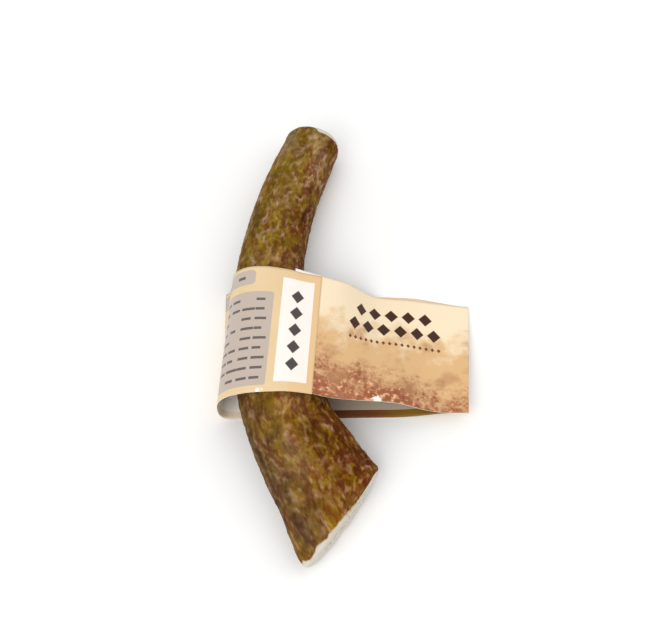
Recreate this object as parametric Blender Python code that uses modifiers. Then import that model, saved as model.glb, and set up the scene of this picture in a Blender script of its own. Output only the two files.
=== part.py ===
"""A sawn length of deer antler, lying down, with the printed paper band it is sold in.

The antler grew as one piece: a slightly bent beam that flares towards its thick end. The thin
end is sawn square and rounded off, the thick end is sawn aslant and its rim is ground. The
band is one strip of paper, glued into a loop round the middle. It is longer than the antler
needs, so the spare length lies beside it as a flat flap, open at its south edge.

The object lies on the XY plane. +Y runs towards the thin end, +X towards the paper flap and
+Z up. The origin is the bottom centre of its box. Every number below is in millimetres.
"""
import math

import bmesh
import bpy
from mathutils import Vector

MM = 0.001

# ---- antler: driving dimensions ------------------------------------------------------------
# Sections from the thin end to the thick one: where the section's plane meets the left and
# the right side in plan, then the heights of its underside and its top.
ANTLER_SECTIONS = (
    ((-23.55, 95.0), (-2.2, 89.0), 0.0, 21.0),
    ((-35.4, 64.6), (-12.4, 56.4), 0.0, 23.6),
    ((-41.3, 42.3), (-16.2, 37.3), 0.8, 25.2),
    ((-44.8, 19.8), (-17.6, 18.3), 1.3, 26.0),
    ((-45.2, -4.2), (-15.0, -2.7), 1.5, 26.4),
    ((-43.0, -26.7), (-10.6, -18.2), 1.5, 26.6),
    ((-37.8, -47.2), (-6.6, -33.7), 1.0, 26.0),
    ((-31.0, -63.2), (1.9, -45.7), 0.2, 24.0),
    ((-24.8, -76.2), (8.4, -54.0), 0.0, 20.8),
    ((-15.9, -97.0), (12.1, -57.3), 0.0, 17.6),
)
SECTION_ROUNDNESS = 2.25     # exponent of the oval: 2 is an ellipse, more is squarer
UNDERSIDE_FLAT = 0.25        # how much of each low section is worn flat where it lies
THIN_END_ROUNDING = 4.9      # radius of the rounded-off thin end
THICK_END_ROUNDING = 1.6     # radius of the ground rim of the thick end
TIP_ROUNDING = 4.3           # what the thick end's far corner is rounded more than the rest
TIP_NEARNESS = 8             # exponent: more keeps that extra rounding nearer the corner
THICK_END_BULGE = 1.4        # how far the middle of the thick end's ground face stands out
BULGE_STARTS = 0.9           # how far along the antler the bulge starts to push its skin out
RINGS = 54                   # along the side
ROUNDING_RINGS = 4           # along each rounded rim
SIDES = 44                   # points round a section
SHARP_FROM = 35              # degrees: an edge that turns by more than this is shaded sharp

# ---- paper band: driving dimensions --------------------------------------------------------
PAPER = 0.3                  # thickness of the paper
LOW = PAPER / 2              # middle of the paper where it lies on the ground
PRESSED = LOW + 2 * PAPER    # middle of the upper layer where it lies on the lower one
# The strip's two edges once round the loop from the flap's end: under the antler, up round
# its left side, over its top and down to the flap's end again. The strip's straight lines
# join points at the same share of the way along both edges.
NORTH_EDGE = (
    (49.85, 14.4, LOW), (38.0, 16.8, LOW), (28.0, 18.6, LOW), (18.0, 19.2, LOW),
    (0.0, 19.6, LOW), (-20.0, 20.0, LOW), (-36.0, 20.2, LOW), (-47.0, 20.2, LOW),
    (-49.9, 20.2, 0.6), (-48.4, 20.2, 2.2), (-46.9, 20.2, 6.5), (-46.1, 20.1, 13.5),
    (-44.2, 20.0, 21.0), (-39.2, 19.8, 25.8), (-32.0, 19.6, 27.0), (-24.0, 19.2, 25.4),
    (-17.0, 18.8, 22.4), (-9.0, 18.7, 19.4), (-2.0, 18.7, 15.9), (3.0, 18.6, 11.2),
    (8.0, 18.5, 5.4), (12.5, 18.4, 2.0), (20.0, 18.2, PRESSED), (28.0, 17.4, PRESSED),
    (38.0, 16.0, PRESSED), (49.85, 14.4, PRESSED),
)
SOUTH_EDGE = (
    (46.6, -34.6, 7.6), (38.0, -34.0, 5.8), (28.0, -33.7, 2.1), (18.0, -33.6, LOW),
    (0.0, -33.8, LOW), (-20.0, -34.2, LOW), (-38.0, -34.5, LOW), (-45.5, -34.6, 0.5),
    (-49.1, -34.6, 3.4), (-50.2, -34.6, 9.5), (-49.4, -34.5, 17.5), (-46.0, -34.4, 23.6),
    (-39.0, -34.2, 27.7), (-31.0, -34.1, 29.2), (-22.5, -33.9, 28.7), (-14.0, -33.7, 25.5),
    (-5.0, -33.6, 21.2), (3.0, -33.6, 19.2), (8.0, -33.6, 18.4), (13.0, -33.6, 17.6),
    (19.0, -33.6, 15.8), (25.0, -33.7, 12.4), (30.0, -33.8, 9.2), (38.0, -34.0, 6.7),
    (46.6, -34.6, 8.3),
)
LEFT_TURN = 9                # the edge point where the strip has turned up round the antler
CURVE_STEPS = 16             # steps from edge point to edge point that measure the curve
CELLS_ALONG = 100            # strip cells once round the loop
CELLS_ACROSS = 8             # strip cells from edge to edge


def clear_scene():
    for leftover in list(bpy.data.objects):
        bpy.data.objects.remove(leftover, do_unlink=True)


def new_collection(name):
    collection = bpy.data.collections.new(name)
    bpy.context.scene.collection.children.link(collection)
    return collection


def make_material(name, colour, roughness):
    material = bpy.data.materials.new(name)
    material.use_nodes = True
    shader = material.node_tree.nodes["Principled BSDF"]
    shader.inputs["Base Color"].default_value = (*colour, 1.0)
    shader.inputs["Roughness"].default_value = roughness
    shader.inputs["Metallic"].default_value = 0.0
    return material


def smooth_between(points, at):
    """The point at a place, counted in spans, on the smooth curve through a row of points."""
    last = len(points) - 1
    span = min(int(at), last - 1)
    part = at - span
    before = points[max(span - 1, 0)]
    start = points[span]
    end = points[span + 1]
    after = points[min(span + 2, last)]
    cubic = []
    for p, q, r, s in zip(before, start, end, after):
        slope_in = (r - p) / 2
        slope_out = (s - q) / 2
        step = r - q
        cubic.append(q + slope_in * part + (3 * step - 2 * slope_in - slope_out) * part ** 2
                     + (slope_in + slope_out - 2 * step) * part ** 3)
    return cubic


def antler_section(along):
    """Left and right point in plan, underside and top of the section at a place, 0 to 1."""
    rows = [(*left, *right, low, high) for left, right, low, high in ANTLER_SECTIONS]
    x0, y0, x1, y1, low, high = smooth_between(rows, along * (len(rows) - 1))
    return Vector((x0, y0)), Vector((x1, y1)), low, high


def antler_point(along, angle, inset=0.0):
    """A point of the antler's side: angle 0 is the right side, a quarter turn is the top."""
    left, right, low, high = antler_section(along)
    low -= UNDERSIDE_FLAT
    power = 2 / SECTION_ROUNDNESS
    across = math.copysign(abs(math.cos(angle)) ** power, math.cos(angle))
    up = math.copysign(abs(math.sin(angle)) ** power, math.sin(angle))
    middle = (left + right) / 2
    half = (right - left) / 2
    place = middle + half * across * (1 - inset / half.length)
    bulge = max(0.0, (along - BULGE_STARTS) / (1 - BULGE_STARTS)) ** 2
    outward = Vector((half.y, -half.x)).normalized()
    place += outward * THICK_END_BULGE * bulge * (1 - across ** 2)
    height = (low + high) / 2 + ((high - low) / 2 - inset) * up
    return Vector((place.x, place.y, max(height, 0.0)))


def rim_rounding(end, angle):
    """Radius of the rim at an end, 0 thin and 1 thick, which is larger at the far corner."""
    if end == 0:
        return THIN_END_ROUNDING
    at_left = (1 - math.cos(angle)) / 2
    return THICK_END_ROUNDING + TIP_ROUNDING * at_left ** TIP_NEARNESS


def rim_start(end, angle):
    """How far along the antler, 0 to 1, the rounding of an end's rim starts at an angle."""
    probe = 0.01
    near = antler_point(abs(end - probe), angle)
    a_hundredth = (near - antler_point(end, angle)).length
    share = probe * rim_rounding(end, angle) / a_hundredth
    return abs(end - share)


def antler_rings():
    """Every ring of points of the antler, from the thin end's face to the thick end's."""
    angles = [2 * math.pi * side / SIDES for side in range(SIDES)]

    def rounding_ring(end, turn):
        ring = []
        for angle in angles:
            start = rim_start(end, angle)
            along = start + (end - start) * math.sin(turn)
            inset = rim_rounding(end, angle) * (1 - math.cos(turn))
            ring.append(antler_point(along, angle, inset))
        return ring

    quarter = [math.pi / 2 * step / ROUNDING_RINGS for step in range(1, ROUNDING_RINGS + 1)]
    rings = [rounding_ring(0, turn) for turn in reversed(quarter)]
    for step in range(RINGS + 1):
        ring = []
        for angle in angles:
            first = rim_start(0, angle)
            last = rim_start(1, angle)
            ring.append(antler_point(first + (last - first) * step / RINGS, angle))
        rings.append(ring)
    rings += [rounding_ring(1, turn) for turn in quarter]
    return rings


def loft(mesh, rings, closed_rings):
    """Skin rows of points with quads. Closed rings join their last point to their first."""
    rows = [[mesh.verts.new(point * MM) for point in ring] for ring in rings]
    count = len(rows[0])
    for row, following in zip(rows, rows[1:]):
        for i in range(count if closed_rings else count - 1):
            j = (i + 1) % count
            mesh.faces.new((row[i], row[j], following[j], following[i]))
    return rows


def add_object(name, mesh, collection, material):
    data = bpy.data.meshes.new(name)
    mesh.to_mesh(data)
    mesh.free()
    data.materials.append(material)
    data.shade_smooth()
    data.set_sharp_from_angle(angle=math.radians(SHARP_FROM))
    part = bpy.data.objects.new(name, data)
    collection.objects.link(part)
    return part


def make_antler(collection):
    mesh = bmesh.new()
    rows = loft(mesh, antler_rings(), closed_rings=True)
    mesh.faces.new(rows[0])
    # The thick end's face bulges in plan only, so upright strips close it.
    rim = rows[-1]
    mesh.faces.new((rim[0], rim[1], rim[SIDES - 1]))
    for i in range(1, SIDES // 2 - 1):
        mesh.faces.new((rim[i], rim[i + 1], rim[SIDES - i - 1], rim[SIDES - i]))
    half_way = SIDES // 2
    mesh.faces.new((rim[half_way - 1], rim[half_way], rim[half_way + 1]))
    bmesh.ops.recalc_face_normals(mesh, faces=mesh.faces)
    bone = make_material("antler_bone", (0.21, 0.12, 0.04), 0.55)
    return add_object("antler", mesh, collection, bone)


def even_points(edge, count):
    """Points at even distances along a strip edge's smooth curve, none of them sunk."""
    curve = []
    for step in range((len(edge) - 1) * CURVE_STEPS + 1):
        at = step / CURVE_STEPS
        point = Vector(smooth_between(edge, at))
        point.z = max(point.z, LOW if at < LEFT_TURN else PRESSED)
        curve.append(point)
    lengths = [0.0]
    for point, following in zip(curve, curve[1:]):
        lengths.append(lengths[-1] + (following - point).length)
    points = []
    span = 0
    for step in range(count + 1):
        wanted = lengths[-1] * step / count
        while span < len(curve) - 2 and lengths[span + 1] < wanted:
            span += 1
        share = (wanted - lengths[span]) / (lengths[span + 1] - lengths[span])
        points.append(curve[span].lerp(curve[span + 1], share))
    return points


def make_paper_band(collection):
    """The strip's middle surface, ruled between its two edges, then thickened."""
    rings = []
    for north, south in zip(even_points(NORTH_EDGE, CELLS_ALONG),
                            even_points(SOUTH_EDGE, CELLS_ALONG)):
        rings.append([north.lerp(south, cell / CELLS_ACROSS)
                      for cell in range(CELLS_ACROSS + 1)])
    mesh = bmesh.new()
    rows = loft(mesh, rings, closed_rings=False)
    # The flap's end is a fold: one more row of points, half a fold further out.
    fold = [mesh.verts.new((low.co + high.co) / 2 + Vector((PAPER * MM, 0, 0)))
            for low, high in zip(rows[0], rows[-1])]
    for above, below in ((rows[-1], fold), (fold, rows[0])):
        for i in range(CELLS_ACROSS):
            mesh.faces.new((above[i], above[i + 1], below[i + 1], below[i]))
    bmesh.ops.recalc_face_normals(mesh, faces=mesh.faces)
    paper = make_material("coated_paper", (0.85, 0.68, 0.42), 0.35)
    band = add_object("paper_band", mesh, collection, paper)
    thick = band.modifiers.new("thickness", "SOLIDIFY")
    thick.thickness = PAPER * MM
    thick.offset = 0.0
    thick.use_even_offset = True
    return band


def main():
    clear_scene()
    collection = new_collection("deer_antler")
    make_antler(collection)
    make_paper_band(collection)


main()
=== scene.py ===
"""The looks of a sawn length of deer antler, lying on a pale table in its printed paper band.

Two pieces stand for the two solids of the frame. The antler is one dense mesh with its bark of
raised streaks, shallow gutters and pores, its sawn ends and the porous core. The band is one
thin strip of coated paper, glued to itself where its ends overlap. Lengths are in millimetres
until a mesh is made, in the frame's own axes: +Y to the thin end, +X to the flap, +Z up.
"""
import math

import bpy
import numpy as np
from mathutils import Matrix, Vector, noise


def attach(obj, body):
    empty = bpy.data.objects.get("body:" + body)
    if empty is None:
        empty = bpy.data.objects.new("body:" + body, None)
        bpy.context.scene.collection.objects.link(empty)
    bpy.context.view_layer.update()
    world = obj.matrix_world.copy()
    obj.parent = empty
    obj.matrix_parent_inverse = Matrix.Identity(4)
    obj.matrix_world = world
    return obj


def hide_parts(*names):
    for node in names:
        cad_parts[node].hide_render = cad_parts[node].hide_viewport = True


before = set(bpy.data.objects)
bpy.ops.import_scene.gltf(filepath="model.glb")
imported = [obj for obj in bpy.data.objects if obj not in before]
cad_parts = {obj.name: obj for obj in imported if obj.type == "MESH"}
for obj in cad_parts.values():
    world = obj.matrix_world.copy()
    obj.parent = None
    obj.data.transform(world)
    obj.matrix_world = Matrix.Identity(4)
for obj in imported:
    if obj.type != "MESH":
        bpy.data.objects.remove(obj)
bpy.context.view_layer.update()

MM = 0.001

# ---- the antler's shape --------------------------------------------------------------------
# Sections from the thin end to the thick one: left and right point in plan, underside, top.
ANTLER_SECTIONS = (
    ((-23.55, 95.0), (-2.2, 89.0), 0.0, 21.0),
    ((-35.4, 64.6), (-12.4, 56.4), 0.0, 23.6),
    ((-41.3, 42.3), (-16.2, 37.3), 0.8, 25.2),
    ((-44.8, 19.8), (-17.6, 18.3), 1.3, 26.0),
    ((-45.2, -4.2), (-15.0, -2.7), 1.5, 26.4),
    ((-43.0, -26.7), (-10.6, -18.2), 1.5, 26.6),
    ((-37.8, -47.2), (-6.6, -33.7), 1.0, 26.0),
    ((-31.0, -63.2), (1.9, -45.7), 0.2, 24.0),
    ((-24.8, -76.2), (8.4, -54.0), 0.0, 20.8),
    ((-15.9, -97.0), (12.1, -57.3), 0.0, 17.6),
)
SECTION_ROUNDNESS = 2.25     # exponent of the oval
UNDERSIDE_FLAT = 0.25        # how much of each low section is worn flat where it lies
THIN_END_ROUNDING = 4.9
THICK_END_ROUNDING = 1.6
TIP_ROUNDING = 4.3           # what the thick end's far corner is rounded more than the rest
TIP_NEARNESS = 8             # exponent: more keeps that extra rounding nearer the corner
THICK_END_BULGE = 1.4        # how far the middle of the thick end's ground face stands out
BULGE_STARTS = 0.9           # share of the antler's length where that bulge starts
SIDES = 240                  # points round a section: one every 0.35 mm
RINGS = 330                  # rings along the skin: one every 0.55 mm
ROUNDING_RINGS = 9           # along each rounded rim
THIN_FACE_ROWS = 22          # mesh rows from the bottom to the top of the thin end's face
THICK_FACE_ROWS = 38

# ---- the bark's relief ---------------------------------------------------------------------
SWELL = 0.40                 # height of the slow swells along the beam
SWELL_SIZE = (11.0, 30.0)    # across and along the grain
BEND_SIZE = (5.5, 10.0)      # the wide bends that all finer features follow
BEND_ACROSS = 2.8            # how far such a bend shifts them across the grain
BEND_DOWN = 1.5
TWIST_SIZE = (2.2, 4.0)      # the small bends on top of the wide ones
TWIST_ACROSS = 0.6
TWIST_ALONG = 0.9
GUTTER = 0.30                # depth of the long shallow gutters that blood vessels leave
GUTTER_SIZE = (8.0, 55.0)
GUTTER_SPREAD = 0.06         # how far the noise may be from 0 in a gutter: less is narrower
RIDGE = 0.24                 # height of the low ridges that run along the beam
RIDGE_SIZE = (2.8, 13.0)
STREAK = 0.22                # height of the raised streaks
STREAK_SIZE = (1.9, 3.1)
STREAK_RISE = (-0.30, 0.40)  # the noise where a streak starts to rise and where it is full
TWIG = 0.11                  # height of the finer ones that branch off them
TWIG_SIZE = (1.1, 1.8)
TWIG_RISE = (-0.22, 0.42)
BEAD = 0.10                  # height of the small beads on both
BEAD_SIZE = (1.2, 1.7)
BEAD_RISE = (-0.05, 0.45)
BOLD_SIZE = (5.0, 9.0)       # the places where the streaks stand out most
BOLD_RISE = (-0.35, 0.25)
LEAST_BOLD = 0.45            # share of a streak's height between those places
PORE_CELL = 3.1              # one pore at most in a cell of this size
PORE_STRETCH = 1.5           # how much longer the cell is along the grain
PORE_SHARE = 0.30            # share of those cells that have one
PORE_WIDTH = 0.85
LEAST_PORE = 0.35            # share of that width that the smallest pore has
PORE_DEPTH = 0.45
MOST_OUTWARD = 0.34          # the relief stays under this in the band, clear of the paper
BAND_ZONE = (-39.0, 25.0)    # where the band crosses the antler, with some room, in y
BAND_FADE = 4.0              # length over which that limit comes in on either side
RIM_WEAR = 0.9               # share of the relief that is ground off where a rim meets its face

# ---- the skin's two ends and the sawn faces ------------------------------------------------
BARE_LENGTH = (1.0, 0.1)     # how far short of the thick end the skin is gone: left, right
BARE_SIDES = (-14.0, 0.0)    # where across that end the left value gives way to the right one
BARE_AT_TIP = 1.3            # how much further it is gone at the thick end's far corner
TIP_SIDES = (-23.5, -18.5)   # where across that end this is whole, and where it is nothing
BARE_TURN = (0.86, 0.22)     # share of the thin end's rounding that keeps its skin: left, right
TURN_SIDES = (-4.0, 3.0)     # where across that end the left value gives way to the right one
THIN_CRISPNESS = 2.5         # how much less ragged the skin's edge is at the thin end
WELL_PAST = 9.0              # stands for any place far beyond the skin's last edge
CORE_DEPTH = (2.4, 5.0)      # depth from a face's rim where its porous core starts and is full
CORE_UNEVEN = 1.2            # how far that border wanders
CORE_WANDER = 3.0            # size of its bays
CORE_TINT = (2.2, 4.4)       # depth from the rim where the core's colour starts and is full
CORE_SUNK = 0.10             # depth of the core under the dense rim
HOLLOW_SIZE = (1.15, 1.15, 1.0)
HOLLOW_RISE = (0.50, 0.16)   # share of that size: a hollow's edge and its floor
HOLLOW_DEPTH = 0.60
FINE_SIZE = 0.75             # of the finer hollows between them
FINE_RISE = (0.45, 0.15)
FINE_SHARE = 0.7             # how deep those are against the large ones

# ---- the bark's stains ---------------------------------------------------------------------
# Stained and rubbed places on the skin, and painted shade: across the grain and along it from
# the thin end, how far each reaches both ways, how much paler it is, and how much richer its
# colour is.
STAINS_AND_PAINTED_SHADE = (
    (4.0, 6.0, 5.0, 8.0, 0.40, -0.14),
    (7.5, 20.0, 5.0, 9.0, 0.78, -0.14),
    (12.0, 6.0, 3.0, 5.0, -0.36, 0.36),
    (-1.0, 15.0, 3.0, 6.0, -0.42, 0.0),
    (-8.0, 12.0, 5.0, 11.0, 0.22, -0.22),
    (2.0, 38.0, 6.0, 13.0, 0.34, -0.06),
    (-9.0, 50.0, 6.0, 13.0, -0.34, 0.0),
    (12.0, 47.0, 6.0, 10.0, -0.24, 0.08),
    (-1.0, 59.0, 6.0, 3.0, -0.12, 0.0),
    (9.0, 60.0, 5.0, 5.0, -0.10, 0.0),
    (3.0, 70.0, 9.0, 6.0, 0.44, -0.08),
    (-9.0, 73.0, 5.0, 6.0, -0.36, 0.0),
    (1.0, 133.0, 8.0, 7.0, 0.64, -0.08),
    (-8.0, 142.0, 5.0, 4.0, -0.20, 0.0),
    (13.0, 136.0, 4.0, 7.0, -0.60, 0.10),
    (2.0, 144.0, 4.0, 4.0, -0.28, 0.0),
    (7.0, 153.0, 7.0, 8.0, -0.34, 0.10),
    (10.0, 168.0, 5.0, 5.0, -0.14, 0.08),
    (17.0, 148.0, 3.0, 6.0, 0.14, 0.0),
    (-5.0, 152.0, 6.0, 12.0, 0.56, -0.12),
    (-14.0, 163.0, 4.0, 6.0, -0.26, 0.0),
    (1.0, 162.0, 6.0, 6.0, 0.24, 0.0),
    (-3.0, 177.0, 7.0, 6.0, 0.52, 0.0),
    (12.0, 176.0, 6.0, 6.0, 0.62, 0.0),
    # Painted shade, darker and greyer, down the whole left flank of the thick half.
    (-17.0, 150.0, 8.0, 40.0, -0.32, -0.12),
)
OLIVE_WHERE_PALE = 0.12      # how far a paler place's ground turns from brown to olive

# ---- the paper band's shape ----------------------------------------------------------------
SHEET = 0.2                  # thickness of the paper
LOW = 0.15                   # middle of the paper where it lies on the table
PRESSED = 0.75               # middle of the upper layer where it lies on the lower one
LEFT_TURN = 9                # the edge point where the strip has turned up round the antler
NORTH_EDGE = (
    (49.85, 14.4, LOW), (38.0, 16.8, LOW), (28.0, 18.6, LOW), (18.0, 19.2, LOW),
    (0.0, 19.6, LOW), (-20.0, 20.0, LOW), (-36.0, 20.2, LOW), (-47.0, 20.2, LOW),
    (-49.9, 20.2, 0.6), (-48.4, 20.2, 2.2), (-46.9, 20.2, 6.5), (-46.1, 20.1, 13.5),
    (-44.2, 20.0, 21.0), (-39.2, 19.8, 25.8), (-32.0, 19.6, 27.0), (-24.0, 19.2, 25.4),
    (-17.0, 18.8, 22.4), (-9.0, 18.7, 19.4), (-2.0, 18.7, 15.9), (3.0, 18.6, 11.2),
    (8.0, 18.5, 5.4), (12.5, 18.4, 2.0), (20.0, 18.2, PRESSED), (28.0, 17.4, PRESSED),
    (38.0, 16.0, PRESSED), (49.85, 14.4, PRESSED),
)
SOUTH_EDGE = (
    (46.6, -34.6, 7.6), (38.0, -34.0, 5.8), (28.0, -33.7, 2.1), (18.0, -33.6, LOW),
    (0.0, -33.8, LOW), (-20.0, -34.2, LOW), (-38.0, -34.5, LOW), (-45.5, -34.6, 0.5),
    (-49.1, -34.6, 3.4), (-50.2, -34.6, 9.5), (-49.4, -34.5, 17.5), (-46.0, -34.4, 23.6),
    (-39.0, -34.2, 27.7), (-31.0, -34.1, 29.2), (-22.5, -33.9, 28.7), (-14.0, -33.7, 25.5),
    (-5.0, -33.6, 21.2), (3.0, -33.6, 19.2), (8.0, -33.6, 18.4), (13.0, -33.6, 17.6),
    (19.0, -33.6, 15.8), (25.0, -33.7, 12.4), (30.0, -33.8, 9.2), (38.0, -34.0, 6.7),
    (46.6, -34.6, 8.3),
)
LOOP = 222.0                 # once round the loop, along the middle of the strip
GLUED = 11.0                 # length of the glued overlap
STRIP = LOOP + GLUED         # the strip's cut length
WIDTH = 54.3                 # its cut width
OUTER_END = 0.702            # where on the loop the outer ply ends, from the flap's end
PLY_STEP = 0.26              # how far the outer ply lies above the one that it is glued to
PLY_DROP = (-0.5, 5.0)       # from the overlap's inner end: where it starts and ends coming down
TAB_SLIP = 1.4               # how far the glued tab's corner peeks out past the north edge
SLIP_LENGTH = 17.0           # length from the tab's end over which that goes back to nothing
WAVE = 0.16                  # height of the paper's soft waves
WAVE_SIZE = (14.0, 22.0, 14.0)
WAVE_FREE = (0.9, 3.0)       # height over the table where they start and where they are full
# White spots at the south edge: from the glued tab's end, half their length, their depth.
WHITE_EDGE_SPOTS = ((212.5, 0.5, 0.6), (37.3, 1.0, 1.8))
PAST_EDGE = 5.0              # how far the print's boxes run on past an edge that they reach
ONE_ROW = 60.0               # spacing of rows that leaves room for only one
CELLS_ALONG = 330
CELLS_ACROSS = 50
CURVE_STEPS = 24             # steps between two points of an edge
FOLD_ROWS = 6                # rows round the fold at the flap's end

# ---- the picture's point of view -----------------------------------------------------------
CAMERA_AIM = (-5.0, 14.3, 0.0)
CAMERA_DISTANCE = 450.0
CAMERA_TILT = 26.0           # degrees off straight down
CAMERA_LENS = 58.6
CAMERA_SENSOR = 36.0         # width of the film behind that lens


def linear(hex_colour):
    """An sRGB colour such as "d3c0a1" as linear red, green, blue and alpha."""
    channels = [int(hex_colour[i:i + 2], 16) / 255 for i in (0, 2, 4)]
    return [c / 12.92 if c <= 0.04045 else ((c + 0.055) / 1.055) ** 2.4 for c in channels] + [1.0]


def smooth_step(low, high, value):
    """0 up to a low value and 1 from a high one on, with a smooth change in between."""
    share = np.clip((np.asarray(value, float) - low) / (high - low), 0.0, 1.0)
    return share * share * (3 - 2 * share)


def curve_through(points, at):
    """Places on the smooth curve through a row of points, each place counted in spans."""
    rows = np.array(points, float)
    at = np.asarray(at, float)
    last = len(rows) - 1
    span = np.clip(at.astype(int), 0, last - 1)
    part = (at - span)[..., None]
    before = rows[np.maximum(span - 1, 0)]
    start = rows[span]
    end = rows[span + 1]
    after = rows[np.minimum(span + 2, last)]
    slope_in = (end - before) / 2
    slope_out = (after - start) / 2
    step = end - start
    return (start + slope_in * part + (3 * step - 2 * slope_in - slope_out) * part ** 2
            + (slope_in + slope_out - 2 * step) * part ** 3)


# ---- the antler ----------------------------------------------------------------------------
def beam_section(share):
    """The section at each share of the sections: left x and y, right x and y, underside, top."""
    rows = [(*left, *right, low, high) for left, right, low, high in ANTLER_SECTIONS]
    return curve_through(rows, share * (len(rows) - 1))


def measure_middle(steps=600):
    """Even shares of the sections, and the length along the middle of the beam up to each."""
    shares = np.linspace(0.0, 1.0, steps)
    section = beam_section(shares)
    middle = (section[:, 0:2] + section[:, 2:4]) / 2
    lengths = np.cumsum(np.linalg.norm(np.diff(middle, axis=0), axis=1))
    return shares, np.concatenate(([0.0], lengths))


MIDDLE_SHARES, MIDDLE_LENGTHS = measure_middle()
BEAM_LENGTH = float(MIDDLE_LENGTHS[-1])


def beam(along, angle, inset):
    """Points of the smooth beam, and their grain coordinates: across, up and along it."""
    section = beam_section(along)
    left, right = section[..., 0:2], section[..., 2:4]
    low = section[..., 4] - UNDERSIDE_FLAT
    high = section[..., 5]
    power = 2 / SECTION_ROUNDNESS
    across = np.sign(np.cos(angle)) * np.abs(np.cos(angle)) ** power
    up = np.sign(np.sin(angle)) * np.abs(np.sin(angle)) ** power
    half = (right - left) / 2
    half_width = np.linalg.norm(half, axis=-1)
    reach = across * (1 - inset / half_width)
    place = (left + right) / 2 + half * reach[..., None]
    bulge = np.clip((along - BULGE_STARTS) / (1 - BULGE_STARTS), 0, None) ** 2
    outward = np.stack((half[..., 1], -half[..., 0]), -1) / half_width[..., None]
    place = place + outward * (THICK_END_BULGE * bulge * (1 - across ** 2))[..., None]
    rise = ((high - low) / 2 - inset) * up
    height = np.maximum((low + high) / 2 + rise, 0.0)
    points = np.stack((place[..., 0], place[..., 1], height), -1)
    from_thin_end = np.interp(along, MIDDLE_SHARES, MIDDLE_LENGTHS)
    grain = np.stack((half_width * reach, rise, from_thin_end), -1)
    return points, grain


def rim_rounding(end, angle):
    """Radius of the rounding of an end's rim: 0 is the thin end and 1 the thick one."""
    if end == 0:
        return np.full_like(angle, THIN_END_ROUNDING)
    at_left = (1 - np.cos(angle)) / 2
    return THICK_END_ROUNDING + TIP_ROUNDING * at_left ** TIP_NEARNESS


def rim_start(end, angle):
    """Share of the length where an end's rounding starts."""
    probe = 0.01
    near, _ = beam(np.full_like(angle, abs(end - probe)), angle, 0.0)
    tip, _ = beam(np.full_like(angle, float(end)), angle, 0.0)
    a_hundredth = np.linalg.norm(near - tip, axis=-1)
    return np.abs(end - probe * rim_rounding(end, angle) / a_hundredth)


def skin_rings():
    """All rings of the skin, thin end first, with grain and how far each is round a rim."""
    angle = 2 * math.pi * np.arange(SIDES) / SIDES
    starts = [rim_start(end, angle) for end in (0, 1)]
    rings = []

    def rim(end, turn):
        along = starts[end] + (end - starts[end]) * math.sin(turn)
        inset = rim_rounding(end, angle) * (1 - math.cos(turn))
        points, grain = beam(along, angle, inset)
        rings.append((points, grain, (turn, 0) if end == 0 else (0, turn)))

    turns = [math.pi / 2 * step / ROUNDING_RINGS for step in range(1, ROUNDING_RINGS + 1)]
    for turn in reversed(turns):
        rim(0, turn)
    for step in range(RINGS + 1):
        along = starts[0] + (starts[1] - starts[0]) * step / RINGS
        points, grain = beam(along, angle, np.zeros(SIDES))
        rings.append((points, grain, (0, 0)))
    for turn in turns:
        rim(1, turn)
    points = np.array([ring[0] for ring in rings])
    grain = np.array([ring[1] for ring in rings])
    turned = np.array([ring[2] for ring in rings])
    return points, grain, turned


def grid_normals(points):
    """Outward normals of the rings, which close on themselves round the beam."""
    round_the_beam = np.roll(points, -1, axis=1) - np.roll(points, 1, axis=1)
    along_the_beam = np.gradient(points, axis=0)
    normal = np.cross(round_the_beam, along_the_beam)
    return normal / np.maximum(np.linalg.norm(normal, axis=-1, keepdims=True), 1e-9)


def sampled(function, places):
    """A noise function's value at each of many places."""
    flat = places.reshape(-1, 3)
    values = np.fromiter((function(Vector(p)) for p in flat), float, len(flat))
    return values.reshape(places.shape[:-1])


def stretched(grain, size, shift):
    """Grain coordinates in sizes of a feature. The shift keeps its noise apart from others'."""
    across, along = size
    return grain / np.array((across, across, along)) + shift


def bark_noise(grain, size, shift):
    """Smooth noise from about -1 to 1, in patches of a size across and along the grain."""
    return sampled(noise.noise, stretched(grain, size, shift))


def bark_relief(grain):
    """Height of the bark over the smooth beam, and the measures its colours follow."""
    swell = bark_noise(grain, SWELL_SIZE, 5.0)
    bend = bark_noise(grain, BEND_SIZE, 11.0)
    twist = bark_noise(grain, TWIST_SIZE, 17.0)
    bent = grain + np.stack((bend * BEND_ACROSS + twist * TWIST_ACROSS, -bend * BEND_DOWN,
                             twist * TWIST_ALONG), -1)
    gutter = np.exp(-(bark_noise(bent, GUTTER_SIZE, 23.0) / GUTTER_SPREAD) ** 2)
    ridge = bark_noise(bent, RIDGE_SIZE, 83.0)
    streak = smooth_step(*STREAK_RISE, bark_noise(bent, STREAK_SIZE, 31.0))
    twig = smooth_step(*TWIG_RISE, bark_noise(bent, TWIG_SIZE, 47.0))
    bead = smooth_step(*BEAD_RISE, bark_noise(bent, BEAD_SIZE, 59.0))
    bold = smooth_step(*BOLD_RISE, bark_noise(grain, BOLD_SIZE, 71.0))
    pore = pores(grain)
    strength = LEAST_BOLD + (1 - LEAST_BOLD) * bold
    height = (SWELL * swell - GUTTER * gutter + RIDGE * ridge
              + STREAK * strength * (streak - 0.5) + TWIG * (twig - 0.4) + BEAD * bead
              - PORE_DEPTH * pore)
    # How rubbed a place is: what stands out is worn pale, most of all on the streaks.
    raised = (0.47 * streak * strength + 0.30 * twig + 0.26 * bead + 0.32 * ridge
              - 0.25 * gutter)
    return height, np.clip(raised, 0, 1), pore


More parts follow.
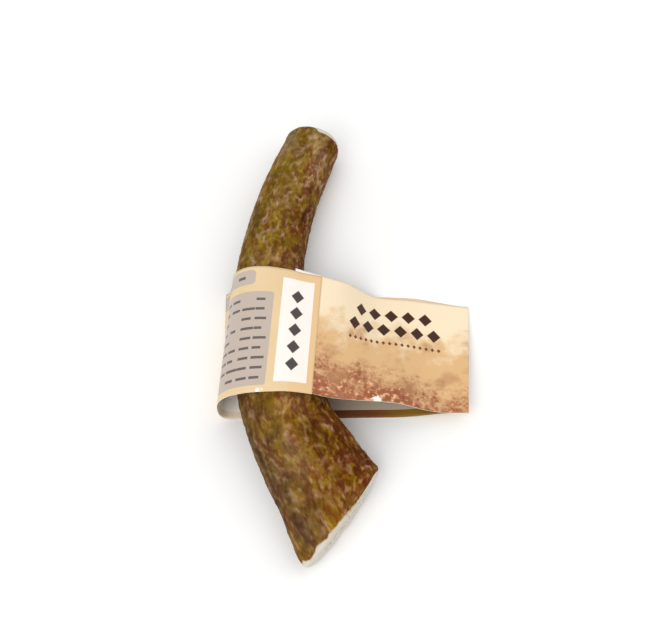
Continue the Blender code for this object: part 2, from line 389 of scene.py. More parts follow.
def pores(grain):
    """Small pits, one at most in each cell of a grid that is stretched along the grain."""
    cells = stretched(grain, (PORE_CELL, PORE_CELL * PORE_STRETCH), 0.5)
    other_cells = 3.7        # takes a pore's middle to a cell of its own, for its chance
    deep = np.zeros(grain.shape[:-1])
    for index in np.ndindex(deep.shape):
        distances, centres = noise.voronoi(Vector(cells[index]))
        chance = noise.cell(centres[0] * other_cells)
        if chance < PORE_SHARE:
            off = distances[0] * PORE_CELL
            deep[index] = max(0.0, 1 - (off / (PORE_WIDTH * (LEAST_PORE + chance))) ** 2)
    return deep


def shape_skin():
    """The skin's points with their relief, and the attributes of each point."""
    points, grain, turned = skin_rings()
    normals = grid_normals(points)
    height, raised, pore = bark_relief(grain)
    south, north = BAND_ZONE
    in_band = (smooth_step(south - BAND_FADE, south, points[..., 1])
               * (1 - smooth_step(north, north + BAND_FADE, points[..., 1])))
    hold = np.maximum(in_band, 0.3)                    # the limit is loosest where it comes in
    height = np.where(in_band > 0, np.minimum(height, MOST_OUTWARD / hold), height)
    ground = np.sin(turned.max(axis=1))[:, None]       # 1 where the rim meets the sawn face
    height = height * (1 - RIM_WEAR * ground)
    points = points + normals * height[..., None]
    points[..., 2] = np.maximum(points[..., 2], 0.0)
    return points, grain, turned, raised, pore


def face_rows(rim_points, rim_grain, rows):
    """Points of a sawn face: upright columns between the lower and the upper half of its rim."""
    half = SIDES // 2
    upper = np.arange(1, half)
    share = (np.arange(1, rows) / rows)[:, None, None]
    points = rim_points[SIDES - upper] * (1 - share) + rim_points[upper] * share
    grain = rim_grain[SIDES - upper] * (1 - share) + rim_grain[upper] * share
    return points, grain


def depth_in_face(points, rim_points):
    """How far each point of a face is from the rim, of which every fourth point is enough."""
    flat = points.reshape(-1, 3)
    nearest = np.full(len(flat), np.inf)
    for rim_point in rim_points[::4]:
        nearest = np.minimum(nearest, np.linalg.norm(flat - rim_point, axis=1))
    return nearest.reshape(points.shape[:-1])


def past_the_skin(grain, turned):
    """How far each point lies past the line where the skin ends, in mm, less than 0 on skin."""
    across = grain[..., 0]
    bare_left, bare_right = BARE_LENGTH
    bare = bare_left + (bare_right - bare_left) * smooth_step(*BARE_SIDES, across)
    bare = bare + BARE_AT_TIP * (1 - smooth_step(*TIP_SIDES, across))
    past_thick = grain[..., 2] - (BEAM_LENGTH - bare)
    kept_left, kept_right = BARE_TURN
    kept = kept_left + (kept_right - kept_left) * smooth_step(*TURN_SIDES, across)
    quarter = THIN_END_ROUNDING * math.pi / 2
    past_thin = (turned[:, :1] / (math.pi / 2) - kept) * quarter
    return np.maximum(past_thick, past_thin * THIN_CRISPNESS)


def make_antler():
    """The antler: the rings of its skin, and a grid of points across each sawn face."""
    points, grain, turned, raised, pore = shape_skin()
    count = len(points)
    vertices = [points.reshape(-1, 3)]
    total = len(vertices[0])
    given = {"grain": [grain.reshape(-1, 3)], "raised": [raised.reshape(-1)],
             "bare": [past_the_skin(grain, turned).reshape(-1)],
             "core": [np.zeros(total)], "pore": [pore.reshape(-1)]}

    quads = []
    around = np.arange(SIDES)
    following = (around + 1) % SIDES
    for ring in range(count - 1):
        low, up = ring * SIDES, (ring + 1) * SIDES
        quads.append(np.stack((low + around, low + following, up + following, up + around), 1))
    triangles = []
    for end, rows in ((0, THIN_FACE_ROWS), (1, THICK_FACE_ROWS)):
        ring = (count - 1) * end
        rim_points, rim_grain = points[ring], grain[ring]
        inner, inner_grain = face_rows(rim_points, rim_grain, rows)
        depth = depth_in_face(inner, rim_points)
        inner, hollow = carve_face(inner, depth, rim_points, end)
        face_count = hollow.size
        vertices.append(inner.reshape(-1, 3))
        given["grain"].append(inner_grain.reshape(-1, 3))
        given["raised"].append(np.zeros(face_count))
        given["bare"].append(np.full(face_count, WELL_PAST))
        given["core"].append(smooth_step(*CORE_TINT, depth).reshape(-1))
        given["pore"].append(hollow.reshape(-1))
        # The grid of point numbers, from the lower rim through the face to the upper rim.
        half = SIDES // 2
        columns = np.arange(1, half)
        table = np.empty((rows + 1, half - 1), int)
        table[0] = ring * SIDES + SIDES - columns
        table[-1] = ring * SIDES + columns
        table[1:-1] = total + np.arange(face_count).reshape(rows - 1, half - 1)
        quads.append(grid_faces(table, end == 1))
        for column, tip in ((0, ring * SIDES), (half - 2, ring * SIDES + half)):
            for row in range(rows):
                pair = (table[row, column], table[row + 1, column])
                if (column == 0) != (end == 0):
                    pair = pair[::-1]
                triangles.append((tip, *pair))
        total += face_count
    faces = np.concatenate(quads).tolist() + triangles
    piece = add_piece("deer_antler", np.concatenate(vertices), faces)
    for name, values in given.items():
        give(piece, name, np.concatenate(values))
    piece.data.materials.append(antler_material())
    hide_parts("antler")
    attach(piece, "root")
    return piece


def carve_face(inner, depth, rim_points, end):
    """Sinks the porous core of a sawn face and its small hollows. Returns how hollow it is."""
    across = rim_points[0] - rim_points[SIDES // 2]
    into = np.array((across[1], -across[0], 0.0))
    into /= np.linalg.norm(into)
    if (into[1] > 0) == (end == 0):
        into = -into
    border = depth + CORE_UNEVEN * sampled(noise.noise, inner / CORE_WANDER)
    spongy = smooth_step(*CORE_DEPTH, border)
    large = smooth_step(*HOLLOW_RISE, sampled(off_middle, inner / np.array(HOLLOW_SIZE)))
    fine = smooth_step(*FINE_RISE, sampled(off_middle, inner / FINE_SIZE + 9.0))
    hollow = np.maximum(large, FINE_SHARE * fine)
    hollow = smooth_step(0.0, 1.0, hollow) * spongy
    sunk = CORE_SUNK * spongy + HOLLOW_DEPTH * hollow
    return inner + into * sunk[..., None], hollow


def off_middle(place):
    """How far a place is from the middle of its hollow, in sizes of a hollow."""
    return noise.voronoi(place)[0][0]


# ---- the paper band ------------------------------------------------------------------------
def edge_curve(edge):
    """The closed smooth curve of one edge of the strip, from the flap's end round to it."""
    at = np.arange((len(edge) - 1) * CURVE_STEPS + 1) / CURVE_STEPS
    curve = curve_through(edge, at)
    curve[:, 2] = np.maximum(curve[:, 2], np.where(at < LEFT_TURN, LOW, PRESSED))
    return np.concatenate((curve, fold_turn(curve[-1], curve[0])))


def fold_turn(upper, lower):
    """The half round of the fold at the flap's end, from its upper layer to its lower one."""
    middle = (upper + lower) / 2
    radius = (upper[2] - lower[2]) / 2
    turn = math.pi * np.arange(1, FOLD_ROWS + 1) / FOLD_ROWS
    return middle + radius * np.stack((np.sin(turn), np.zeros(FOLD_ROWS), np.cos(turn)), 1)


def on_edge(curve, share):
    """Places at shares of the whole length of an edge's curve."""
    steps = np.linalg.norm(np.diff(curve, axis=0), axis=1)
    length = np.concatenate(([0.0], np.cumsum(steps)))
    wanted = np.asarray(share) * length[-1]
    return np.stack([np.interp(wanted, length, curve[:, axis]) for axis in range(3)], -1)


def strip_route():
    """Shares of the loop along the strip: from the glued tab's end to the outer ply's end.
    They count on past the flap's end, where a new turn of the loop starts at one."""
    tab_end = OUTER_END - GLUED / LOOP
    even = np.linspace(tab_end, 1 + OUTER_END, CELLS_ALONG + 1)
    spacing = even[1] - even[0]
    fold = math.pi / 2 * (PRESSED - LOW) / LOOP
    clear = (even < 1 - fold - spacing / 4) | (even > 1 + spacing / 4)
    in_fold = 1 - fold * np.arange(FOLD_ROWS + 1) / FOLD_ROWS
    return np.sort(np.concatenate((even[clear], in_fold)))


def make_band():
    """The band: straight from edge to edge, then lifted, waved and as thick as the paper."""
    route = strip_route()
    from_tab = (route - route[0]) * LOOP
    shares = np.where(route > 1, route - 1, route)
    north, south = [on_edge(edge_curve(edge), shares) for edge in (NORTH_EDGE, SOUTH_EDGE)]
    across = np.arange(CELLS_ACROSS + 1) / CELLS_ACROSS
    slip = TAB_SLIP * (1 - smooth_step(0.0, SLIP_LENGTH, from_tab))
    place = across[None, :] - (slip / WIDTH)[:, None]
    points = north[:, None] * (1 - place[..., None]) + south[:, None] * place[..., None]
    normals = np.cross(np.gradient(points, axis=1), np.gradient(points, axis=0))
    normals /= np.linalg.norm(normals, axis=-1, keepdims=True)

    to_outer_end = from_tab[-1] - from_tab
    starts, ends = PLY_DROP
    lift = PLY_STEP * (1 - smooth_step(GLUED + starts, GLUED + ends, to_outer_end))
    wave = WAVE * sampled(noise.noise, points / np.array(WAVE_SIZE))
    free = smooth_step(*WAVE_FREE, points[..., 2])
    height = lift[:, None] + wave * free
    points = points + normals * height[..., None]

    rows, columns = points.shape[:2]
    table = np.arange(rows * columns).reshape(rows, columns)
    faces = grid_faces(table).tolist()
    piece = add_piece("paper_band_strip", points.reshape(-1, 3), faces)
    # The place on the flat strip: from the glued tab's end, and from the north edge.
    printed = np.stack((np.repeat(from_tab, columns),
                        np.tile(across * WIDTH, rows), np.zeros(rows * columns)), 1)
    give(piece, "print", printed)
    piece.data.materials.append(printed_material())
    piece.data.materials.append(reverse_material())
    piece.data.materials.append(cut_edge_material())
    thick = piece.modifiers.new("sheet thickness", "SOLIDIFY")
    thick.thickness = SHEET * MM
    thick.offset = 0.0
    thick.use_even_offset = False
    thick.material_offset = 1
    thick.material_offset_rim = 2
    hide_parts("paper_band")
    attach(piece, "root")
    return piece


# ---- meshes and nodes ----------------------------------------------------------------------
def grid_faces(table, turned_over=False):
    """Four-sided faces between neighbours in a table of point numbers."""
    corners = (table[:-1, :-1], table[:-1, 1:], table[1:, 1:], table[1:, :-1])
    if turned_over:
        corners = corners[::-1]
    return np.stack([corner.reshape(-1) for corner in corners], 1)


def add_piece(name, vertices, faces):
    mesh = bpy.data.meshes.new(name)
    mesh.from_pydata((vertices * MM).tolist(), [], faces)
    mesh.shade_smooth()
    mesh.update()
    piece = bpy.data.objects.new(name, mesh)
    bpy.context.scene.collection.objects.link(piece)
    return piece


def give(piece, name, values):
    """Stores a value or a vector at each point of a mesh."""
    kind, field = ("FLOAT_VECTOR", "vector") if values.ndim == 2 else ("FLOAT", "value")
    attribute = piece.data.attributes.new(name, kind, "POINT")
    attribute.data.foreach_set(field, values.astype(np.float32).reshape(-1))


# The settings of a node that blends two colours, and of one that turns softly at both limits.
COLOURS = {"data_type": "RGBA", "out": 2}
SMOOTH = {"interpolation_type": "SMOOTHSTEP"}


def new_tree(name):
    material = bpy.data.materials.new(name)
    material.use_nodes = True
    material.node_tree.nodes.clear()
    return material, material.node_tree


def add(tree, kind, inputs=None, out=0, **settings):
    """Adds a shader node with its settings. An input is a value or another node's socket."""
    made = tree.nodes.new("ShaderNode" + kind)
    for name, value in settings.items():
        setattr(made, name, value)
    for key, value in (inputs or {}).items():
        if isinstance(value, bpy.types.NodeSocket):
            tree.links.new(value, made.inputs[key])
        else:
            made.inputs[key].default_value = value
    return made.outputs[out] if len(made.outputs) else made


# ---- materials -----------------------------------------------------------------------------
def grain_noise(tree, grain, across, along, detail, roughness):
    """Noise whose patches are so many mm across the grain and so many along it."""
    place = add(tree, "VectorMath", {0: grain, 1: (1 / across, 1 / across, 1 / along)},
                operation="MULTIPLY")
    return add(tree, "TexNoise", {"Vector": place, "Scale": 1.0, "Detail": detail,
                                  "Roughness": roughness})


def antler_material():
    """Antler bone, grown, shed and tumbled clean: a satin bark with no varnish. Its furrows are
    dark olive brown, its raised streaks are worn to a golden or pinkish tan, and rust brown
    stains lie on its right side, where they are also painted shade on that flank; painted
    shade darkens and greys the thick half's left flank. Where it is sawn the eye gets matt
    ivory bone round a greyer porous core."""
    material, tree = new_tree("antler bark and sawn bone")
    grain = add(tree, "Attribute", attribute_name="grain", out="Vector")
    raised, pore, past_skin, core = [add(tree, "Attribute", attribute_name=name, out="Fac")
                                     for name in ("raised", "pore", "bare", "core")]

    # Soft clouds, 5 mm wide and 9 mm long, which also make the edges of the stained places and
    # of the painted shade uneven. Such a place fades out from near its middle to about 1.3 times
    # its reach.
    cloud = grain_noise(tree, grain, 5.0, 9.0, 3.0, 0.5)
    paleness, richness = 1.04, 0.97
    for across, along, reach_across, reach_along, paler, richer in STAINS_AND_PAINTED_SHADE:
        off = add(tree, "VectorMath", {0: grain, 1: (across, 0.0, along)}, operation="SUBTRACT")
        off = add(tree, "VectorMath", {0: off, 1: (1 / reach_across, 0.0, 1 / reach_along)},
                  operation="MULTIPLY")
        off = add(tree, "VectorMath", {0: off}, operation="LENGTH", out="Value")
        off = add(tree, "Math", {0: cloud, 1: 1.6, 2: off}, operation="MULTIPLY_ADD")
        near = add(tree, "MapRange", {0: off, 1: 0.9, 2: 2.1, 3: 1.0, 4: 0.0}, **SMOOTH)
        paleness = add(tree, "Math", {0: near, 1: paler, 2: paleness}, operation="MULTIPLY_ADD")
        richness = add(tree, "Math", {0: near, 1: richer, 2: richness},
                       operation="MULTIPLY_ADD")

    # Patches 5 mm wide and 8 mm long, broken up by flecks 1.5 mm wide: the ground is olive in
    # one and brown in the next. It is more often olive towards the thin end, on the left side
    # and where it is pale.
    side = add(tree, "SeparateXYZ", {0: grain})
    from_thin_end = side.node.outputs[2]
    patch = grain_noise(tree, grain, 5.0, 8.0, 4.0, 0.6)
    fleck = grain_noise(tree, grain, 1.5, 2.6, 3.0, 0.6)
    patch = add(tree, "Math", {0: patch, 1: fleck}, operation="ADD")
    for leaning in ({0: from_thin_end, 1: 30.0, 2: BEAM_LENGTH, 3: -0.10, 4: 0.04},
                    {0: side, 1: -10.0, 2: 12.0, 3: -0.05, 4: 0.05},
                    {0: paleness, 1: 0.0, 2: 2.0, 3: OLIVE_WHERE_PALE, 4: -OLIVE_WHERE_PALE}):
        browner = add(tree, "MapRange", leaning)
        patch = add(tree, "Math", {0: patch, 1: browner}, operation="ADD")
    patch = add(tree, "MapRange", {0: patch, 1: 0.82, 2: 1.16}, **SMOOTH)
    ground = add(tree, "Mix", {0: patch, 6: linear("7e6400"), 7: linear("724404")}, **COLOURS)
    # Rust brown stains, 4 mm wide and 7 mm long, most of them on the right side, where they
    # also stand for painted shade on the right flank.
    rust_and_shade_to_right = add(tree, "MapRange", {0: side, 1: -9.0, 2: 14.0, 3: -0.12, 4: 0.16})
    stain_and_shade = grain_noise(tree, grain, 4.0, 7.0, 4.0, 0.65)
    stain_and_shade = add(tree, "Math", {0: stain_and_shade, 1: rust_and_shade_to_right}, operation="ADD")
    stain_and_shade = add(tree, "MapRange", {0: stain_and_shade, 1: 0.50, 2: 0.68, 4: 0.85}, **SMOOTH)
    ground = add(tree, "Mix", {0: stain_and_shade, 6: ground, 7: linear("622c04")}, **COLOURS)
    # The fine grain, 0.8 mm wide, breaks up what the relief colours.
    fine = grain_noise(tree, grain, 0.8, 1.3, 4.0, 0.65)
    broken = add(tree, "MapRange", {0: fine, 1: 0.35, 2: 0.65, 3: -0.16, 4: 0.16})
    worn = add(tree, "Math", {0: raised, 1: broken}, operation="ADD")
    furrow = add(tree, "MapRange", {0: worn, 1: -0.05, 2: 0.40}, **SMOOTH)
    furrowed = add(tree, "Mix", {0: 1.0, 6: ground, 7: linear("e2d6c0")}, **COLOURS,
                   blend_type="MULTIPLY")
    bark = add(tree, "Mix", {0: furrow, 6: furrowed, 7: ground}, **COLOURS)
    # Where the skin is rubbed it is golden in one place and pinkish in the next, 3 mm away.
    pinkish = grain_noise(tree, grain, 2.5, 5.5, 2.0, 0.5)
    pinkish = add(tree, "MapRange", {0: pinkish, 1: 0.42, 2: 0.58}, **SMOOTH)
    for start, full, most, golden, pink in ((0.20, 0.75, 0.64, "90701a", "9a7864"),
                                            (0.50, 1.00, 0.50, "a4863c", "b89888")):
        rubbed = add(tree, "MapRange", {0: worn, 1: start, 2: full, 4: most}, **SMOOTH)
        tan = add(tree, "Mix", {0: pinkish, 6: linear(golden), 7: linear(pink)}, **COLOURS)
        bark = add(tree, "Mix", {0: rubbed, 6: bark, 7: tan}, **COLOURS)
    # It is darker in some clouds, and a deeper golden brown towards the thick end.
    for measure, start, full, deep in ((cloud, 0.58, 0.34, "d4c8b2"),
                                       (from_thin_end, 70.0, 140.0, "f6eccc")):
        shade = add(tree, "MapRange", {0: measure, 1: start, 2: full}, **SMOOTH)
        shade = add(tree, "Mix", {0: shade, 6: linear("ffffff"), 7: linear(deep)}, **COLOURS)
        bark = add(tree, "Mix", {0: 1.0, 6: bark, 7: shade}, **COLOURS,
                   blend_type="MULTIPLY")
    bark = add(tree, "HueSaturation", {"Saturation": richness, "Value": paleness,
                                       "Color": bark})
    bark = add(tree, "Mix", {0: pore, 6: bark, 7: linear("3a1e08")}, **COLOURS)

    # Sawn bone: saw marks every 0.8 mm, drawn coarser than the real teeth leave them.
    marks = add(tree, "VectorMath", {0: grain, 1: (0.9, 0.25, 1.0)}, operation="MULTIPLY")
    mark = add(tree, "TexNoise", {"Vector": marks, "Scale": 1.4, "Detail": 3.0})
    bone = add(tree, "Mix", {0: mark, 6: linear("d8d4cc"), 7: linear("c9c2b6")}, **COLOURS)
    spongy = add(tree, "Mix", {0: pore, 6: linear("d6cdbe"), 7: linear("9c8a70")}, **COLOURS)
    bone = add(tree, "Mix", {0: core, 6: bone, 7: spongy}, **COLOURS)
    # The skin ends in a softly stepped line near each ground rim, with a tan fringe past it.
    ragged = grain_noise(tree, grain, 4.5, 4.5, 2.0, 0.5)
    ragged = add(tree, "MapRange", {0: ragged, 1: 0.3, 2: 0.7, 3: -0.5, 4: 0.5})
    line = add(tree, "Math", {0: past_skin, 1: ragged}, operation="ADD")
    bare = add(tree, "MapRange", {0: line, 1: -0.15, 2: 0.15})
    tanned = add(tree, "MapRange", {0: line, 1: -0.15, 2: 0.6})
    bone = add(tree, "Mix", {0: tanned, 6: linear("b79a72"), 7: bone}, **COLOURS)
    colour = add(tree, "Mix", {0: bare, 6: bark, 7: bone}, **COLOURS)

    gloss = add(tree, "MapRange", {0: worn, 1: 0.0, 2: 1.0, 3: 0.68, 4: 0.50})
    gloss = add(tree, "Mix", {0: bare, 2: gloss, 3: 0.7}, data_type="FLOAT")
    bump = add(tree, "Bump", {"Height": fine, "Strength": 0.6, "Distance": 0.2 * MM})
    surface = add(tree, "BsdfPrincipled", {"Base Color": colour, "Roughness": gloss,
                                           "Normal": bump, "IOR": 1.54,
                                           "Specular IOR Level": 0.06})
    add(tree, "OutputMaterial", {"Surface": surface})
    return material


def printed_box(tree, place, start, end, north, south, corner=0.0, soft=0.12):
    """Where a box is printed on the strip: 1 inside it and 0 outside. Start and end are counted
    from the glued tab's end, north and south from the north edge."""
    middle = ((start + end) / 2, (north + south) / 2, 0.0)
    half = ((end - start) / 2 - corner, (south - north) / 2 - corner, 1.0)
    off = add(tree, "VectorMath", {0: place, 1: middle}, operation="SUBTRACT")
    off = add(tree, "VectorMath", {0: off}, operation="ABSOLUTE")
    off = add(tree, "VectorMath", {0: off, 1: half}, operation="SUBTRACT")
    off = add(tree, "VectorMath", {0: off, 1: (0.0, 0.0, 0.0)}, operation="MAXIMUM")
    off = add(tree, "VectorMath", {0: off}, operation="LENGTH", out="Value")
    return add(tree, "MapRange", {0: off, 1: corner, 2: corner + soft, 3: 1.0, 4: 0.0})


def printed_lozenges(tree, place, first, spacing, size, many):
    """Lozenges on the strip, all alike and evenly spaced along and across it."""
    reach = (spacing[0] / 2, spacing[1] / 2, 1.0)
    off = add(tree, "VectorMath", {0: place, 1: (*first, 0.0)}, operation="SUBTRACT")
    off = add(tree, "VectorMath", {0: off, 1: reach, 2: tuple(-r for r in reach)},
              operation="WRAP")
    off = add(tree, "VectorMath", {0: off}, operation="ABSOLUTE")
    off = add(tree, "VectorMath", {0: off, 1: (2 / size[0], 2 / size[1], 0.0)},
              operation="DOT_PRODUCT", out="Value")
    lozenge = add(tree, "MapRange", {0: off, 1: 0.94, 2: 1.06, 3: 1.0, 4: 0.0})
    last = [first[axis] + spacing[axis] * (many[axis] - 1) for axis in (0, 1)]
    block = printed_box(tree, place, first[0] - size[0] / 2, last[0] + size[0] / 2,
                        first[1] - size[1] / 2, last[1] + size[1] / 2)
    return add(tree, "Math", {0: lozenge, 1: block}, operation="MULTIPLY")


def printed_dashes(tree, place, box, spacing, height):
    """Plain dashes of uneven length in even rows, the weight of a block of small print."""
    left_bare = 0.18         # share of the cells that have no dash
    off = add(tree, "VectorMath", {0: place, 1: (box[0], box[2], 0.0)}, operation="SUBTRACT")
    cells = add(tree, "VectorMath", {0: off, 1: (*spacing, 1.0)}, operation="DIVIDE")
    cell = add(tree, "VectorMath", {0: cells}, operation="FLOOR")
    chance = add(tree, "TexWhiteNoise", {"Vector": cell}, noise_dimensions="3D")
    part = add(tree, "VectorMath", {0: cells}, operation="FRACTION")
    along = add(tree, "SeparateXYZ", {0: part})
    across = along.node.outputs[1]
    length = add(tree, "MapRange", {0: chance, 1: left_bare, 2: 1.0, 3: 0.50, 4: 0.98})
    ink = add(tree, "Math", {0: along, 1: length}, operation="LESS_THAN")
    in_row = add(tree, "Math", {0: across, 1: 0.5, 2: height / spacing[1] / 2},
                 operation="COMPARE")
    ink = add(tree, "Math", {0: ink, 1: in_row}, operation="MULTIPLY")
    drawn = add(tree, "Math", {0: chance, 1: left_bare}, operation="GREATER_THAN")
    ink = add(tree, "Math", {0: ink, 1: drawn}, operation="MULTIPLY")
    inside = printed_box(tree, place, *box)
    return add(tree, "Math", {0: ink, 1: inside}, operation="MULTIPLY")


def printed_material():
    """Coated art paper, offset printed and glossed: smooth, with a soft sheen. A cream to rust
    wash covers the flap, and plain boxes lie on a tan ground over the antler."""
    material, tree = new_tree("printed side of coated paper")
    place = add(tree, "Attribute", attribute_name="print", out="Vector")
    flap_end = GLUED + (1 - OUTER_END) * LOOP
    past_north, past_south = -PAST_EDGE, WIDTH + PAST_EDGE

    # The tan ground over the antler, a little uneven every 11 mm.
    tint = add(tree, "TexNoise", {"Vector": place, "Scale": 0.09, "Detail": 2.0})
    colour = add(tree, "Mix", {0: tint, 6: linear("dabc8c"), 7: linear("e3caa2")}, **COLOURS)

    # The wash on the flap: cream, then golden tan, then rust towards the south edge. Its noises
    # are scaled in patches per millimetre.
    cloud = add(tree, "TexNoise", {"Vector": place, "Scale": 0.11, "Detail": 5.0,
                                   "Roughness": 0.62})
    mottle = add(tree, "TexNoise", {"Vector": place, "Scale": 0.75, "Detail": 5.0,
                                    "Roughness": 0.7})
    along = add(tree, "SeparateXYZ", {0: place})
    south = along.node.outputs[1]
    drift = add(tree, "MapRange", {0: cloud, 1: 0.3, 2: 0.7, 3: -9.0, 4: 9.0})
    grit = add(tree, "MapRange", {0: mottle, 1: 0.3, 2: 0.7, 3: -5.0, 4: 5.0})
    south = add(tree, "Math", {0: south, 1: drift}, operation="ADD")
    rough_south = add(tree, "Math", {0: south, 1: grit}, operation="ADD")
    # The rust reaches further up beside the antler than at the flap's end.
    lean = add(tree, "MapRange", {0: along, 1: GLUED, 2: flap_end, 3: 5.0, 4: -4.0})
    rough_south = add(tree, "Math", {0: rough_south, 1: lean}, operation="ADD")
    golden = add(tree, "MapRange", {0: south, 1: 12.0, 2: 30.0}, **SMOOTH)
    wash = add(tree, "Mix", {0: golden, 6: linear("f2debd"), 7: linear("dab17d")}, **COLOURS)
    rusty = add(tree, "MapRange", {0: rough_south, 1: 36.0, 2: 54.0}, **SMOOTH)
    wash = add(tree, "Mix", {0: rusty, 6: wash, 7: linear("a05a38")}, **COLOURS)
    # Flecks 2.4 mm across, lighter and darker than the rust they lie on.
    speck = add(tree, "TexNoise", {"Vector": place, "Scale": 0.42, "Detail": 4.0,
                                   "Roughness": 0.62})
    for low, high, fleck_colour in ((0.52, 0.66, "ecbc90"), (0.48, 0.34, "85502a")):
        fleck = add(tree, "MapRange", {0: speck, 1: low, 2: high})
        fleck = add(tree, "Math", {0: fleck, 1: rusty}, operation="MULTIPLY")
        wash = add(tree, "Mix", {0: fleck, 6: wash, 7: linear(fleck_colour)}, **COLOURS)
    # Broad soft shades of brown over the golden part, 14 mm across.
    haze = add(tree, "TexNoise", {"Vector": place, "Scale": 0.07, "Detail": 3.0,
                                  "Roughness": 0.55})
    haze = add(tree, "MapRange", {0: haze, 1: 0.50, 2: 0.66, 4: 0.65}, **SMOOTH)
    haze = add(tree, "Math", {0: haze, 1: golden}, operation="MULTIPLY")
    wash = add(tree, "Mix", {0: haze, 6: wash, 7: linear("b5835a")}, **COLOURS)
    on_flap = printed_box(tree, place, -PAST_EDGE, flap_end + 3.0, past_north, past_south)
    colour = add(tree, "Mix", {0: on_flap, 6: colour, 7: wash}, **COLOURS)

    # A plain ornament on the flap: two rows of lozenges over a dotted line, in dark brown.
    # Then, over the antler, a golden strip at the outer end, a white box with a column of
    # lozenges, and two grey ones with plain broken rules. The glued tab is left unprinted.
    rows = ((GLUED + 20.0, 9.8), (GLUED + 16.5, 17.6), (GLUED + 14.5, 24.6))
    column = (STRIP - 9.1, 12.0)
    inks = (
        (printed_lozenges(tree, place, rows[0], (7.0, ONE_ROW), (5.6, 6.4), (5, 1)), "3a1600"),
        (printed_lozenges(tree, place, rows[1], (7.0, ONE_ROW), (5.6, 6.4), (6, 1)), "3a1600"),
        (printed_lozenges(tree, place, rows[2], (2.6, ONE_ROW), (1.6, 2.0), (16, 1)), "6a4020"),
        (printed_box(tree, place, STRIP - 9.0, STRIP + PAST_EDGE, past_north, past_south,
                     soft=1.5), "e2be8e"),
        (printed_box(tree, place, STRIP - 15.4, STRIP - 2.8, 4.1, 50.1), "f7ebe3"),
        (printed_box(tree, place, STRIP - 42.0, STRIP - 18.5, 11.3, 51.5, 1.0), "bcada1"),
        (printed_box(tree, place, STRIP - 60.0, STRIP - 26.2, 1.6, 8.0, 1.8), "bcada1"),
        (printed_dashes(tree, place, (STRIP - 41.2, STRIP - 20.0, 12.6, 50.2), (5.4, 4.2), 1.1),
         "645c58"),
        (printed_dashes(tree, place, (STRIP - 50.0, STRIP - 28.6, 2.7, 6.7), (5.4, 4.2), 1.3),
         "645c58"),
        (printed_lozenges(tree, place, column, (ONE_ROW, 7.6), (5.2, 6.0), (1, 5)), "453f3d"),
        (printed_box(tree, place, -PAST_EDGE, GLUED, past_north, past_south), "fbf7ef"),
    )
    for mask, ink in inks:
        colour = add(tree, "Mix", {0: mask, 6: colour, 7: linear(ink)}, **COLOURS)
    # The print cracks white along the flap's fold, and two small spots at the south edge are
    # white.
    crack = add(tree, "TexNoise", {"Vector": place, "Scale": 1.6, "Detail": 4.0})
    crack = add(tree, "MapRange", {0: crack, 1: 0.48, 2: 0.60})
    fold = printed_box(tree, place, flap_end - 0.25, flap_end + 0.25, past_north, past_south,
                       soft=0.3)
    white = add(tree, "Math", {0: crack, 1: fold}, operation="MULTIPLY")
    for middle, reach, depth in WHITE_EDGE_SPOTS:
        white_spot = printed_box(tree, place, middle - reach, middle + reach, WIDTH - depth,
                           past_south, 0.4, 1.6)
        white_spot = add(tree, "Math", {0: grit, 1: 0.11, 2: white_spot}, operation="MULTIPLY_ADD")
        white_spot = add(tree, "MapRange", {0: white_spot, 1: 0.50, 2: 0.80})
        white = add(tree, "Math", {0: white, 1: white_spot}, operation="MAXIMUM")
    colour = add(tree, "Mix", {0: white, 6: colour, 7: linear("f8f3ea")}, **COLOURS)

    surface = add(tree, "BsdfPrincipled", {"Base Color": colour, "Roughness": 0.42,
                                           "Specular IOR Level": 0.25,
                                           "Coat Weight": 0.12, "Coat Roughness": 0.22})
    add(tree, "OutputMaterial", {"Surface": surface})
    return material


def reverse_material():
    """The reverse of the paper, uncoated and duller: off-white, with a pinkish edge at the
    north, and a border along its south edge that runs from gold and brown under the flap to
    pale tan at the far side. The grey field and the brown border under the flap are painted
    shade, the border's colours partly print too."""
    material, tree = new_tree("reverse of the paper")
    place = add(tree, "Attribute", attribute_name="print", out="Vector")
    whole_length = (-PAST_EDGE, STRIP + PAST_EDGE)
    north_edge = printed_box(tree, place, *whole_length, -PAST_EDGE, 1.6)
    border = printed_box(tree, place, *whole_length, WIDTH - 3.3, WIDTH + PAST_EDGE)
    along = add(tree, "SeparateXYZ", {0: place})
    # Painted shade: the field is grey under the flap and turns off-white towards the far side,
    # which lies open to the light; the border pales there too.
    paler = add(tree, "MapRange", {0: along, 1: 130.0, 2: 165.0}, **SMOOTH)
    field = add(tree, "Mix", {0: paler, 6: linear("c2b3a0"), 7: linear("fbf7f0")}, **COLOURS)
    field = add(tree, "Mix", {0: north_edge, 6: field, 7: linear("f4cdaa")}, **COLOURS)
    # The border's gold at the flap's end and brown beside the antler: partly print, partly
    # painted shade.
    browner = add(tree, "MapRange", {0: along, 1: 98.0, 2: 118.0}, **SMOOTH)
    tan = add(tree, "Mix", {0: browner, 6: linear("8c680c"), 7: linear("743c04")}, **COLOURS)
    tan = add(tree, "Mix", {0: paler, 6: tan, 7: linear("f0e2c6")}, **COLOURS)
    colour = add(tree, "Mix", {0: border, 6: field, 7: tan}, **COLOURS)
    surface = add(tree, "BsdfPrincipled", {"Base Color": colour, "Roughness": 0.6})
    add(tree, "OutputMaterial", {"Surface": surface})
    return material


def cut_edge_material():
    """The paper's guillotined edge, where its white fibre shows."""
    material, tree = new_tree("cut edge of the paper")
    surface = add(tree, "BsdfPrincipled", {"Base Color": linear("f6f1e8"), "Roughness": 0.8})
    add(tree, "OutputMaterial", {"Surface": surface})
    return material


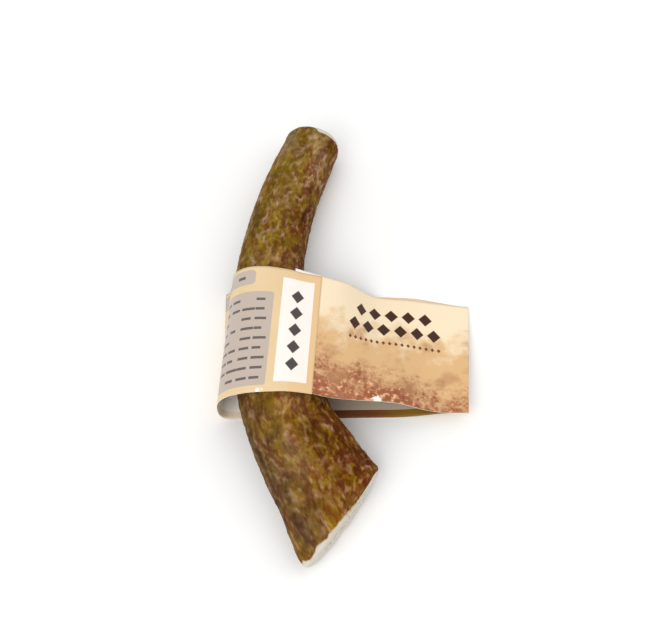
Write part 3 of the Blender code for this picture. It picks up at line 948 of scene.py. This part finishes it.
def table_material():
    """A matt white laminate table top."""
    material, tree = new_tree("matt white laminate")
    surface = add(tree, "BsdfPrincipled", {"Base Color": linear("f4f4f3"), "Roughness": 0.9,
                                           "Specular IOR Level": 0.1})
    add(tree, "OutputMaterial", {"Surface": surface})
    return material


# ---- studio --------------------------------------------------------------------------------
def add_table():
    reach = 3.0              # metres from its middle, past all that the picture shows
    mesh = bpy.data.meshes.new("table")
    corners = [(-reach, -reach, 0), (reach, -reach, 0), (reach, reach, 0), (-reach, reach, 0)]
    mesh.from_pydata(corners, [], [(0, 1, 2, 3)])
    table = bpy.data.objects.new("table", mesh)
    bpy.context.scene.collection.objects.link(table)
    mesh.materials.append(table_material())


def add_soft_light(name, place, size, power):
    """A square soft light that faces the table's middle, in metres and watts."""
    light = bpy.data.lights.new(name, "AREA")
    light.shape = "SQUARE"
    light.size = size
    light.energy = power
    lamp = bpy.data.objects.new(name, light)
    lamp.location = place
    lamp.rotation_euler = (-Vector(place)).to_track_quat("-Z", "Y").to_euler()
    bpy.context.scene.collection.objects.link(lamp)


def add_studio():
    scene = bpy.context.scene
    scene.view_settings.view_transform = "Standard"
    world = bpy.data.worlds.new("studio walls")
    world.use_nodes = True
    walls = world.node_tree.nodes["Background"]
    walls.inputs["Color"].default_value = linear("ffffff")
    walls.inputs["Strength"].default_value = 0.75
    scene.world = world
    add_soft_light("window", place=(-0.42, -0.62, 0.95), size=0.9, power=6.8)
    add_soft_light("reflector", place=(0.5, 0.3, 1.0), size=1.2, power=2.5)


def add_camera():
    camera = bpy.data.cameras.new("camera")
    camera.lens = CAMERA_LENS
    camera.sensor_width = CAMERA_SENSOR
    camera.clip_start = 0.01
    holder = bpy.data.objects.new("camera", camera)
    tilt = math.radians(CAMERA_TILT)
    away = Vector((0.0, -math.sin(tilt), math.cos(tilt))) * CAMERA_DISTANCE
    holder.location = (Vector(CAMERA_AIM) + away) * MM
    holder.rotation_euler = (tilt, 0.0, 0.0)
    bpy.context.scene.collection.objects.link(holder)
    bpy.context.scene.camera = holder


add_camera()
add_studio()
add_table()
make_antler()
make_band()
bpy.context.view_layer.update()
